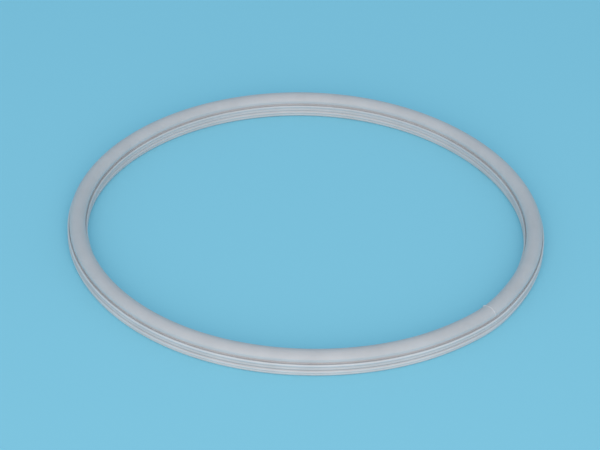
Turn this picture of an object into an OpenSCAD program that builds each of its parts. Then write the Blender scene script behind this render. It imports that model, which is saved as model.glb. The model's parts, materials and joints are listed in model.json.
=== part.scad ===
// Sealing ring of a 22 cm stovetop pressure cooker: a silicone extrusion with a round bead over a
// ribbed foot, bent into a ring and bonded to itself at one butt splice.
// The origin is the ring's centre on the plane it rests on, and +Z points up through the bead.

/* [Ring] */
// Diameter over the outer ribs
outer_d = 239.5; // [180:0.5:300]
// Direction of the splice from +X, in degrees
splice_at = -40; // [-180:1:180]
// Length of the splice along the middle of the section
splice_len = 0.8; // [0.5:0.1:2]
// How far the splice stands proud of the bead
flash = 0.15; // [0.1:0.05:0.3]

/* [Foot] */
// Width over the outer and inner ribs
foot_w = 10; // [9:0.1:14]
// Height of the lowest rib's middle
first_rib_z = 1.1; // [1:0.05:1.3]
// Distance from the lowest rib to the next
rib_pitch = 1.5; // [1.45:0.05:1.75]
// How much further apart each next pair of ribs is
pitch_growth = 0.2; // [0.15:0.05:0.25]
// Height of each rib's flat crest
rib_land = 0.45; // [0.3:0.05:0.45]
// Depth of the groove over the lowest rib
toe_groove = 0.7; // [0.65:0.05:0.75]
// Depth of the groove under the top rib
top_groove = 0.45; // [0.4:0.05:0.5]
// Depth of the groove under the minor rib
deep_groove = 0.65; // [0.5:0.05:0.65]
// How far the lowest rib is set back
toe_setback = 0.55; // [0.55:0.05:0.6]
// Height and width of the slope under the lowest rib
toe_h = 0.65; // [0.5:0.05:0.8]
// How far the minor rib, next to the top one, is set back
minor_setback = 0.2; // [0.15:0.05:0.3]
// Height and width of the slope above the top rib
lip_slope = 0.5; // [0.4:0.05:0.6]

/* [Bead] */
// Overall height of the extrusion
height = 11.75; // [11.5:0.05:14]
// Radius of the bead's round top
bead_r = 4.5; // [4.4:0.1:5]
// Width between the bead's upright flanks
bead_w = 8; // [7:0.1:8.4]
// Width of the neck between the foot and the bead
neck_w = 6.4; // [5:0.1:6.8]
// Gap between the foot's lip and the bead, at the mouth of the main grooves
mouth_h = 0.75; // [0.5:0.05:0.9]
// How far the main grooves sink behind the foot's lip
notch_depth = 0.5; // [0.3:0.05:0.6]

/* [Hidden] */
$fn = 180;

mid_r = (outer_d - foot_w) / 2;            // radius of the middle of the section
half_foot = foot_w / 2;
setbacks = [toe_setback, 0, minor_setback, 0];          // of the ribs, from the lowest up
depths = [toe_groove, deep_groove, top_groove];         // of the grooves between them
foot_h = rib_z(len(setbacks) - 1) + rib_land / 2 + lip_slope;   // the foot's lip
bead_bottom = foot_h + mouth_h;
splice_angle = splice_len / mid_r * 180 / PI;

function rib_z(i) = first_rib_z + i * rib_pitch + i * (i - 1) / 2 * pitch_growth;
function rib_x(i) = half_foot - setbacks[i];

// One groove's outline, from the rib under it to the rib over it, its sides sloping at 45 degrees
function groove(i) =
    let (low = rib_z(i) + rib_land / 2)
    let (high = rib_z(i + 1) - rib_land / 2)
    let (floor_x = half_foot - depths[i])
    [
        [rib_x(i), low],
        [floor_x, low + rib_x(i) - floor_x],
        [floor_x, high - rib_x(i + 1) + floor_x],
        [rib_x(i + 1), high]
    ];

// The foot's outer side, from the resting plane up to the bottom of the main groove
outer_side = concat(
    [
        [rib_x(0) - toe_h, 0],
        [rib_x(0), toe_h]
    ],
    [for (i = [0 : len(depths) - 1]) each groove(i)],
    [
        [half_foot, foot_h - lip_slope],
        [half_foot - lip_slope, foot_h],
        [half_foot - lip_slope - notch_depth, foot_h - notch_depth]
    ]
);

// The foot's inner side from its top down, the mirror image of the outer side
inner_side = [for (i = [len(outer_side) - 1 : -1 : 0]) [-outer_side[i][0], outer_side[i][1]]];

// The whole section, x outward from its middle and y up from the resting plane, with the bead
// enlarged all round by grow
module section(grow = 0) {
    half_w = bead_w / 2 + grow;
    polygon(concat(outer_side, inner_side));
    translate([-neck_w / 2, toe_h])
        square([neck_w, bead_bottom]);
    intersection() {
        translate([0, height - bead_r])
            circle(r = bead_r + grow);
        translate([-half_w, bead_bottom])
            square([2 * half_w, height]);
    }
}

// The one length of extrusion, bent round until its ends nearly meet
module extruded_ring() {
    color("gainsboro")
        rotate([0, 0, splice_at + splice_angle / 2])
            rotate_extrude(angle = 360 - splice_angle)
                translate([mid_r, 0])
                    section();
}

// The thin cured joint that fills the space between the two cut ends
module splice_bond() {
    color("whitesmoke")
        rotate([0, 0, splice_at - splice_angle / 2])
            rotate_extrude(angle = splice_angle)
                translate([mid_r, 0])
                    section(grow = flash);
}

extruded_ring();
splice_bond();
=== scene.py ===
"""Looks for a silicone pressure cooker sealing ring: a rounded and slightly uneven ring round the
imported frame, its splice, their procedural materials, and a plain studio."""

import json
import math

import bpy
import numpy as np
from mathutils import Matrix, Vector


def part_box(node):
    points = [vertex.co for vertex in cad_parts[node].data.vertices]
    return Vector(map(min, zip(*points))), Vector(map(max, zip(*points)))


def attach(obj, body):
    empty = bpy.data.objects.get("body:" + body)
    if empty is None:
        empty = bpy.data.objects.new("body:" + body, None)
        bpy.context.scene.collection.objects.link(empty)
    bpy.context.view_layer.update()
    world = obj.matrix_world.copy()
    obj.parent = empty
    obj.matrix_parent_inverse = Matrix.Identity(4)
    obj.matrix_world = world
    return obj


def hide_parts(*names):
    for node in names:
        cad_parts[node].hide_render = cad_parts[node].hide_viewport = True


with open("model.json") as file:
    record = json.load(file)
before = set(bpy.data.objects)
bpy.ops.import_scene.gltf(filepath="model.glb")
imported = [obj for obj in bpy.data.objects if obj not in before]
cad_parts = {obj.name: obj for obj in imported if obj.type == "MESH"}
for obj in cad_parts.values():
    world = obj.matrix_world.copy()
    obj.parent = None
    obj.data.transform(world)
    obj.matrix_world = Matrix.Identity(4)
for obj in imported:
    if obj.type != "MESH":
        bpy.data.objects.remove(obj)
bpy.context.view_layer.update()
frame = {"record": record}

MM = 0.001
MOUNTS = {mount["name"]: mount for mount in frame["record"]["mounts"]}
OUTER_R = MOUNTS["outer_ribs"]["dims"]["r_mm"]
INNER_R = MOUNTS["inner_ribs"]["dims"]["r_mm"]
MID_R = (OUTER_R + INNER_R) / 2
HALF_FOOT = (OUTER_R - INNER_R) / 2
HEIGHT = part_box("extruded_ring")[1][2] / MM

# The section, in millimetres, as in the CAD model. The ribs are listed from the lowest up.
RIB_SETBACKS = (0.55, 0.0, 0.2, 0.0)
GROOVE_DEPTHS = (0.7, 0.65, 0.45)
TOE_H = 0.65
FIRST_RIB_Z = 1.1
RIB_PITCH = 1.5
PITCH_GROWTH = 0.2
RIB_LAND = 0.45
LIP_SLOPE = 0.5
NOTCH_DEPTH = 0.5
MOUTH_H = 0.75
NECK_W = 6.4
BEAD_R = 4.5
BEAD_W = 8.0

RIB_HEIGHTS = [
    FIRST_RIB_Z + i * RIB_PITCH + i * (i - 1) / 2 * PITCH_GROWTH for i in range(len(RIB_SETBACKS))
]
TOE_X = HALF_FOOT - RIB_SETBACKS[0]
FOOT_H = RIB_HEIGHTS[-1] + RIB_LAND / 2 + LIP_SLOPE
NOTCH_Z = FOOT_H - NOTCH_DEPTH
BEAD_BOTTOM = FOOT_H + MOUTH_H

# Painted light on the silicone: rib crests are painted paler as painted highlights and groove floors
# darker as painted shade; 0 is its own colour, above 0 is paler and below 0 is darker
RIB_PAINTED_HIGHLIGHTS = (0.1, 0.4, 0.0, 0.5)
GROOVE_PAINTED_SHADE = (0.0, -1.7, -0.2)
# The splice's ridge is painted paler towards its crown, a painted highlight
RIDGE_PAINTED_HIGHLIGHT = 0.5
# How much of its painted shade a groove has at its lower corner, so it is darkest under the rib
# above, and how much of all the painted light the inside has
LOW_CORNER_SHADE_SHARE = 0.3
INNER_PAINTED_LIGHT_SHARE = 0.3

# Radii of the section's rounded edges, in millimetres
ROOT_ROUND = 0.12
TOE_ROUND = 0.2
CREST_ROUND = 0.3
FLANK_ROUND = 0.3
CREASE_ROUND = 0.25
# A rounded edge takes up at most this share of the straight stretches beside it
ROUND_SHARE = 0.49

# The splice, seen from above: its direction, and half of the angle it fills
SPLICE_AT = math.radians(-40)
SPLICE_LEN = 0.8
HALF_SPLICE = SPLICE_LEN / MID_R / 2
FLASH = 0.15
# The joint's two edges sink a little, and its ridge ends in a nub on the bead's inner side
SEAM_DEPTH = 0.02
NUB = 0.35
NUB_AT = math.radians(130)
NUB_WIDTH = math.radians(7)
SPLICE_STEPS = 13

# Out-of-round: lobes round the ring, how far each set reaches in mm, and where its first lobe points
LOBES = ((3, 0.54, -35), (4, 0.14, -17), (5, 0.11, 24), (6, 0.09, 6))
# At the splice the ring stands out, and it dips in a little on each side
KICK = 0.62
KICK_WIDTH = math.radians(5.5)
PULL = 0.18
PULL_WIDTH = math.radians(15)

# Outlines round the ring
RING_STEPS = 440
# The turn between points on a rounded edge, where the bead's round top begins, and its points
ARC_STEP = math.radians(16)
DOME_START = math.radians(44)
DOME_POINTS = 25
# Edges bent more than this are sharp, so the cut ends do not shade the walls beside them
SHARP_ANGLE = math.radians(60)

# The silicone's two shades of colour, and those of the cured splice
RING_SHADES = ((0.56, 0.57, 0.58), (0.60, 0.61, 0.62))
SPLICE_SHADES = ((0.60, 0.61, 0.62), (0.65, 0.66, 0.67))
# What painted light of -1 (painted shade) and 1 (painted highlight) multiplies the colour by; other
# values follow the same line
PAINTED_SHADE_SCALE = 0.72
PAINTED_HIGHLIGHT_SCALE = 1.28

# How deep light scatters in the silicone, in metres; the share of that depth that red, green and blue
# each reach; and how much of the light scatters
SCATTER = 0.001
SCATTER_BY_COLOUR = (1.0, 0.9, 0.8)
SCATTER_WEIGHT = 0.4
REFRACTION = 1.41
ROUGHNESS_LOW = 0.42
ROUGHNESS_HIGH = 0.6

# Noise in the silicone: clouds of colour, fine grain, and lines drawn along the extrusion. Scales are
# in cells per metre, and the lines' are along the ring and round the section.
CLOUDS = {"Scale": 60.0, "Detail": 4.0, "Roughness": 0.55}
CLOUD_DARK_AT = 0.35
CLOUD_PALE_AT = 0.65
GRAIN = {"Scale": 2400.0, "Detail": 2.0, "Roughness": 0.6}
GRAIN_BUMP = {"Strength": 0.25, "Distance": 0.00003}
LINES = {"Scale": 1.0, "Detail": 3.0, "Roughness": 0.5}
LINE_CELLS = (12.0, 2600.0, 1.0)
LINE_BUMP = {"Strength": 0.35, "Distance": 0.00006}

# The studio: blue paper, an even pale blue surround, and one big soft lamp. It stands behind the
# camera, at a slightly smaller angle above the floor.
FLOOR_COLOUR = (0.30, 0.76, 0.93)
FLOOR_ROUGHNESS = 0.9
FLOOR_HALF = 6.0
FLOOR_DROP = 0.0001
SURROUND = (0.61, 0.835, 1.0)
SURROUND_POWER = 0.59
LAMP_COLOUR = (1.0, 0.78, 0.68)
LAMP_POWER = 44.7
LAMP_SIZE = 2.4
LAMP_DISTANCE = 2.6
LAMP_HEIGHT_ANGLE = math.radians(28)

# The camera: a long lens far off, looking down at the ring, rolled a little, the ring just off centre
CAMERA_ELEVATION = math.radians(34.4)
CAMERA_ROLL = math.radians(2.0)
CAMERA_DISTANCE = 1.265
CAMERA_LENS = 150
CAMERA_SENSOR = 36
CAMERA_NEAR = 0.05
RING_RIGHT = 0.0031
RING_DOWN = 0.0037


def rounded(corners):
    """A closed outline of (x, y, painted light) from (x, y, fillet radius, painted light) corners, fillets
    made arcs.
    """
    outline = []
    count = len(corners)
    for i, (x, y, radius, painted_light) in enumerate(corners):
        here = np.array([x, y])
        if radius == 0:
            outline.append((x, y, painted_light))
            continue
        back = np.array(corners[i - 1][:2]) - here
        ahead = np.array(corners[(i + 1) % count][:2]) - here
        back_len = np.linalg.norm(back)
        ahead_len = np.linalg.norm(ahead)
        back /= back_len
        ahead /= ahead_len
        inside = math.acos(max(-1, min(1, back @ ahead)))
        room = ROUND_SHARE * min(back_len, ahead_len)
        reach = min(radius / math.tan(inside / 2), room)
        start = here + back * reach
        end = here + ahead * reach
        middle = (back + ahead) / np.linalg.norm(back + ahead)
        centre = here + middle * reach / math.cos(inside / 2)
        first = start - centre
        last = end - centre
        turn = math.atan2(first[0] * last[1] - first[1] * last[0], first @ last)
        steps = max(1, math.ceil(abs(turn) / ARC_STEP))
        for step in range(steps + 1):
            angle = turn * step / steps
            cos, sin = math.cos(angle), math.sin(angle)
            outline.append((
                centre[0] + cos * first[0] - sin * first[1],
                centre[1] + sin * first[0] + cos * first[1],
                painted_light,
            ))
    return np.array(outline)


def foot_corners():
    """Corners of the foot's outer side, from the floor up to the bottom of the main groove."""
    # Each corner carries painted light: painted highlights on rib crests, painted shade on groove floors,
    # darkest under the rib above
    corners = [(TOE_X - TOE_H, 0, TOE_ROUND, 0), (TOE_X, TOE_H, CREST_ROUND, RIB_PAINTED_HIGHLIGHTS[0])]
    for i, depth in enumerate(GROOVE_DEPTHS):
        floor_x = HALF_FOOT - depth
        low_x = HALF_FOOT - RIB_SETBACKS[i]
        high_x = HALF_FOOT - RIB_SETBACKS[i + 1]
        low_z = RIB_HEIGHTS[i] + RIB_LAND / 2
        high_z = RIB_HEIGHTS[i + 1] - RIB_LAND / 2
        corners += [
            (low_x, low_z, CREST_ROUND, RIB_PAINTED_HIGHLIGHTS[i]),
            (floor_x, low_z + low_x - floor_x, ROOT_ROUND, GROOVE_PAINTED_SHADE[i] * LOW_CORNER_SHADE_SHARE),
            (floor_x, high_z - high_x + floor_x, ROOT_ROUND, GROOVE_PAINTED_SHADE[i]),
            (high_x, high_z, CREST_ROUND, RIB_PAINTED_HIGHLIGHTS[i + 1]),
        ]
    lip_x = HALF_FOOT - LIP_SLOPE
    corners += [
        (HALF_FOOT, FOOT_H - LIP_SLOPE, CREST_ROUND, RIB_PAINTED_HIGHLIGHTS[-1]),
        (lip_x, FOOT_H, CREST_ROUND, RIB_PAINTED_HIGHLIGHTS[-1]),
        (lip_x - NOTCH_DEPTH, NOTCH_Z, ROOT_ROUND, 0),
    ]
    return corners


def head_corners(grow):
    """Corners of the outer side of the neck and bead, up to where the round top begins."""
    half_bead = BEAD_W / 2 + grow
    crease_z = HEIGHT - BEAD_R + math.sqrt((BEAD_R + grow) ** 2 - half_bead**2)
    return [
        (NECK_W / 2, NOTCH_Z, ROOT_ROUND, 0),
        (NECK_W / 2, BEAD_BOTTOM, ROOT_ROUND, 0),
        (half_bead, BEAD_BOTTOM, FLANK_ROUND, 0),
        (half_bead, crease_z, CREASE_ROUND, 0),
    ]


def dome_points(grow):
    """The bead's round top, from the outer side to the inner one, where a raised splice has its nub."""
    points = []
    nub_height = NUB * max(0, grow) / FLASH
    # A painted highlight that grows paler as the splice's ridge rises
    painted_light = RIDGE_PAINTED_HIGHLIGHT * max(0, grow) / FLASH
    for angle in np.linspace(DOME_START, math.pi - DOME_START, DOME_POINTS):
        nub = nub_height * math.exp(-(((angle - NUB_AT) / NUB_WIDTH) ** 2) / 2)
        reach = BEAD_R + grow + nub
        points.append((reach * math.cos(angle), HEIGHT - BEAD_R + reach * math.sin(angle), 0, painted_light))
    return points


def section(grow=0.0):
    """The extrusion's closed outline of (x, z, painted light): x outward from its middle, z up, both in mm;
    painted light makes the ribs paler and the grooves darker.
    """
    outer = foot_corners() + head_corners(grow)
    # The inside is the outside mirrored, with a share of its painted highlights and painted shade
    inner = [(-x, z, radius, painted_light * INNER_PAINTED_LIGHT_SHARE) for x, z, radius, painted_light in reversed(outer)]
    return rounded(outer + dome_points(grow) + inner)


def from_splice(angle):
    """The angle from the splice, between -pi and pi."""
    return (angle - SPLICE_AT + math.pi) % (2 * math.pi) - math.pi


def radial_shift(angle):
    """How far the soft ring lies outside a true circle, in mm."""
    shift = 0.0
    for lobes, reach, first in LOBES:
        shift += reach * math.cos(lobes * (angle - math.radians(first)))
    away = from_splice(angle)
    shift += KICK * math.exp(-((away / KICK_WIDTH) ** 2) / 2)
    shift -= PULL * math.exp(-((away / PULL_WIDTH) ** 2) / 2)
    return shift


def place(x, z, angle):
    """A point of the section at an angle round the ring, in metres."""
    radius = MID_R + x + radial_shift(angle)
    return (radius * math.cos(angle) * MM, radius * math.sin(angle) * MM, z * MM)


def tube_faces(rings, count):
    """Faces that join each outline to the next, and one face over each end."""
    faces = []
    for j in range(rings - 1):
        for i in range(count):
            k = (i + 1) % count
            faces.append((j * count + i, (j + 1) * count + i, (j + 1) * count + k, j * count + k))
    last = (rings - 1) * count
    faces.append(tuple(range(count)))
    faces.append(tuple(last + i for i in reversed(range(count))))
    return faces


def unwrap(mesh, outline, angles):
    """Give the mesh's sides UVs in metres, u along the extrusion and v round the section."""
    flat = outline[:, :2]
    around = np.linalg.norm(np.roll(flat, -1, axis=0) - flat, axis=1) * MM
    v_at = np.concatenate([[0], np.cumsum(around)])
    u_at = [(angle - angles[0]) * MID_R * MM for angle in angles]
    uv = mesh.uv_layers.new(name="along_and_round").data
    loop = 0
    for j in range(len(angles) - 1):
        for i in range(len(outline)):
            for u, v in ((j, i), (j + 1, i), (j + 1, i + 1), (j, i + 1)):
                uv[loop].uv = (u_at[u], v_at[v])
                loop += 1


def swept(name, outlines, angles):
    """A closed mesh through one outline per angle, which carries the outlines' painted light and UVs."""
    verts = []
    for outline, angle in zip(outlines, angles):
        verts.extend(place(x, z, angle) for x, z in outline[:, :2])
    mesh = bpy.data.meshes.new(name)
    mesh.from_pydata(verts, [], tube_faces(len(angles), len(outlines[0])))
    # The painted highlights and painted shade, as a value at each point
    painted_light_layer = mesh.attributes.new("painted_light", "FLOAT", "POINT")
    painted_light_layer.data.foreach_set("value", np.concatenate([outline[:, 2] for outline in outlines]))
    unwrap(mesh, outlines[0], angles)
    mesh.validate()
    mesh.shade_smooth()
    mesh.set_sharp_from_angle(angle=SHARP_ANGLE)
    piece = bpy.data.objects.new(name, mesh)
    bpy.context.scene.collection.objects.link(piece)
    return piece


def ring_angles():
    """Angles round the ring from one cut end to the other."""
    start = SPLICE_AT + HALF_SPLICE
    return np.linspace(start, start + 2 * math.pi - 2 * HALF_SPLICE, RING_STEPS)


def make_ring():
    """The one length of extrusion, bent round until its ends nearly meet."""
    angles = ring_angles()
    piece = swept("silicone_ring", [section()] * len(angles), angles)
    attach(piece, "root")
    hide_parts("extruded_ring")
    return piece


def ridge(share):
    """The splice's height over the bead, at a share of the way across it."""
    return (FLASH + SEAM_DEPTH) * math.sin(math.pi * share) - SEAM_DEPTH


def make_splice():
    """The thin cured joint between the two ends, raised into a ridge."""
    angles = np.linspace(SPLICE_AT - HALF_SPLICE, SPLICE_AT + HALF_SPLICE, SPLICE_STEPS)
    outlines = [section(ridge(share)) for share in np.linspace(0, 1, SPLICE_STEPS)]
    piece = swept("cured_splice", outlines, angles)
    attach(piece, "root")
    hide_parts("splice_bond")
    return piece


def add(nodes, kind, **inputs):
    """A new shader node with its unlinked inputs set by name."""
    node = nodes.new(kind)
    for key, value in inputs.items():
        node.inputs[key.replace("_", " ")].default_value = value
    return node


def colour_with_painted_light(nodes, link, place_at, shader, shades):
    """Colour the shader in soft clouds of two shades, scaled by the mesh's painted light: painted
    highlights on the ribs, painted shade in the grooves.
    """
    dark, pale = shades
    clouds = add(nodes, "ShaderNodeTexNoise", **CLOUDS)
    link(place_at.outputs["Object"], clouds.inputs["Vector"])
    tint = nodes.new("ShaderNodeValToRGB")
    tint.color_ramp.elements[0].position = CLOUD_DARK_AT
    tint.color_ramp.elements[0].color = (*dark, 1)
    tint.color_ramp.elements[1].position = CLOUD_PALE_AT
    tint.color_ramp.elements[1].color = (*pale, 1)
    link(clouds.outputs["Fac"], tint.inputs["Fac"])
    # The painted highlights and painted shade, read from the mesh
    painted_light = nodes.new("ShaderNodeAttribute")
    painted_light.attribute_name = "painted_light"
    strength = add(
        nodes, "ShaderNodeMapRange", From_Min=-1.0, From_Max=1.0, To_Min=PAINTED_SHADE_SCALE, To_Max=PAINTED_HIGHLIGHT_SCALE
    )
    strength.clamp = False
    link(painted_light.outputs["Fac"], strength.inputs["Value"])
    # The cloud colour darkened by painted shade and lightened by painted highlights
    painted_light_colour = nodes.new("ShaderNodeVectorMath")
    painted_light_colour.operation = "SCALE"
    link(tint.outputs["Color"], painted_light_colour.inputs[0])
    link(strength.outputs["Result"], painted_light_colour.inputs["Scale"])
    link(painted_light_colour.outputs["Vector"], shader.inputs["Base Color"])


def draw_surface(nodes, link, place_at, shader):
    """Give the shader fine grain and faint lines along the extrusion, in its bump and its gloss."""
    stretch = nodes.new("ShaderNodeMapping")
    stretch.inputs["Scale"].default_value = LINE_CELLS
    link(place_at.outputs["UV"], stretch.inputs["Vector"])
    lines = add(nodes, "ShaderNodeTexNoise", **LINES)
    link(stretch.outputs["Vector"], lines.inputs["Vector"])
    grain = add(nodes, "ShaderNodeTexNoise", **GRAIN)
    link(place_at.outputs["Object"], grain.inputs["Vector"])

    gloss = add(nodes, "ShaderNodeMapRange", To_Min=ROUGHNESS_LOW, To_Max=ROUGHNESS_HIGH)
    link(lines.outputs["Fac"], gloss.inputs["Value"])
    link(gloss.outputs["Result"], shader.inputs["Roughness"])

    fine = add(nodes, "ShaderNodeBump", **GRAIN_BUMP)
    link(grain.outputs["Fac"], fine.inputs["Height"])
    drawn = add(nodes, "ShaderNodeBump", **LINE_BUMP)
    link(lines.outputs["Fac"], drawn.inputs["Height"])
    link(fine.outputs["Normal"], drawn.inputs["Normal"])
    link(drawn.outputs["Normal"], shader.inputs["Normal"])


def silicone(name, shades):
    """Pale, slightly cloudy silicone with faint draw lines along the extrusion, its colour carrying painted
    highlights on the ribs and painted shade in the grooves.
    """
    material = bpy.data.materials.new(name)
    material.use_nodes = True
    nodes = material.node_tree.nodes
    link = material.node_tree.links.new
    shader = nodes["Principled BSDF"]
    shader.inputs["IOR"].default_value = REFRACTION
    shader.inputs["Subsurface Weight"].default_value = SCATTER_WEIGHT
    shader.inputs["Subsurface Radius"].default_value = SCATTER_BY_COLOUR
    shader.inputs["Subsurface Scale"].default_value = SCATTER
    place_at = nodes.new("ShaderNodeTexCoord")
    colour_with_painted_light(nodes, link, place_at, shader, shades)
    draw_surface(nodes, link, place_at, shader)
    return material


def plain(name, colour, roughness):
    """A material of one even colour."""
    material = bpy.data.materials.new(name)
    material.use_nodes = True
    shader = material.node_tree.nodes["Principled BSDF"]
    shader.inputs["Base Color"].default_value = (*colour, 1)
    shader.inputs["Roughness"].default_value = roughness
    return material


def make_floor():
    """Wide paper, just under the ring's resting plane."""
    mesh = bpy.data.meshes.new("floor")
    half = FLOOR_HALF
    corners = [(-half, -half, 0), (half, -half, 0), (half, half, 0), (-half, half, 0)]
    mesh.from_pydata(corners, [], [(0, 1, 2, 3)])
    floor = bpy.data.objects.new("floor", mesh)
    floor.location.z = -FLOOR_DROP
    bpy.context.scene.collection.objects.link(floor)
    mesh.materials.append(plain("floor_paper", FLOOR_COLOUR, FLOOR_ROUGHNESS))


def make_lights():
    """The even surround, and the soft lamp that faces the ring."""
    world = bpy.data.worlds.new("surround")
    world.use_nodes = True
    back = world.node_tree.nodes["Background"]
    back.inputs["Color"].default_value = (*SURROUND, 1)
    back.inputs["Strength"].default_value = SURROUND_POWER
    bpy.context.scene.world = world
    lamp = bpy.data.lights.new("soft_front", "AREA")
    lamp.shape = "DISK"
    lamp.size = LAMP_SIZE
    lamp.energy = LAMP_POWER
    lamp.color = LAMP_COLOUR
    holder = bpy.data.objects.new("soft_front", lamp)
    holder.location = LAMP_DISTANCE * Vector((0, -math.cos(LAMP_HEIGHT_ANGLE), math.sin(LAMP_HEIGHT_ANGLE)))
    holder.rotation_euler = (-holder.location).to_track_quat("-Z", "Y").to_euler()
    bpy.context.scene.collection.objects.link(holder)


def set_view():
    """Colours come out as lit, with no film curve."""
    bpy.context.scene.view_settings.view_transform = "Standard"


def make_camera():
    """The camera, aimed past the ring's centre by the two offsets."""
    data = bpy.data.cameras.new("camera")
    data.lens = CAMERA_LENS
    data.sensor_width = CAMERA_SENSOR
    data.clip_start = CAMERA_NEAR
    camera = bpy.data.objects.new("camera", data)
    turn = Matrix.Rotation(math.pi / 2 - CAMERA_ELEVATION, 4, "X") @ Matrix.Rotation(CAMERA_ROLL, 4, "Z")
    camera.matrix_world = turn @ Matrix.Translation((-RING_RIGHT, RING_DOWN, CAMERA_DISTANCE))
    bpy.context.scene.collection.objects.link(camera)
    bpy.context.scene.camera = camera


ring = make_ring()
splice = make_splice()
ring.data.materials.append(silicone("silicone", RING_SHADES))
splice.data.materials.append(silicone("cured_bond", SPLICE_SHADES))
make_floor()
make_lights()
make_camera()
set_view()
